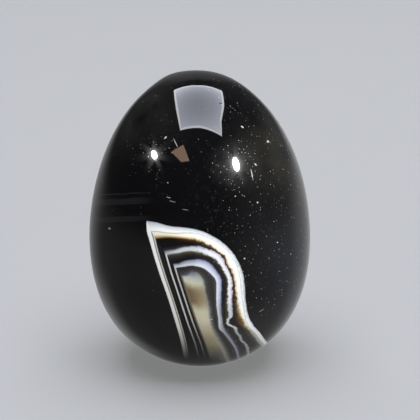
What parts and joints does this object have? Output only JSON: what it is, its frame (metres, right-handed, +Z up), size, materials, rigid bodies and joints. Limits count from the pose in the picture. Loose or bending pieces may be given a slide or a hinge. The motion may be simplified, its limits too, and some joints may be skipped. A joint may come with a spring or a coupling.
{
  "type": "banded onyx egg",
  "caption": "Polished egg of black stone with a fan of white, cream and grey bands low on its front; stands on a small flat spot as an ornament or palm stone.",
  "frame": {"origin": "middle of the flat spot that the egg stands on", "axes": "+Z up from the flat spot to the pointed top, -Y towards the front, where the white bands are, +X to the right seen from the front"},
  "size_m": [0.0364, 0.0364, 0.0491],
  "materials": {
    "polished_stone": "polished"
  },
  "bodies": {
    "root": {"egg": "polished_stone"}
  },
  "joints": []
}
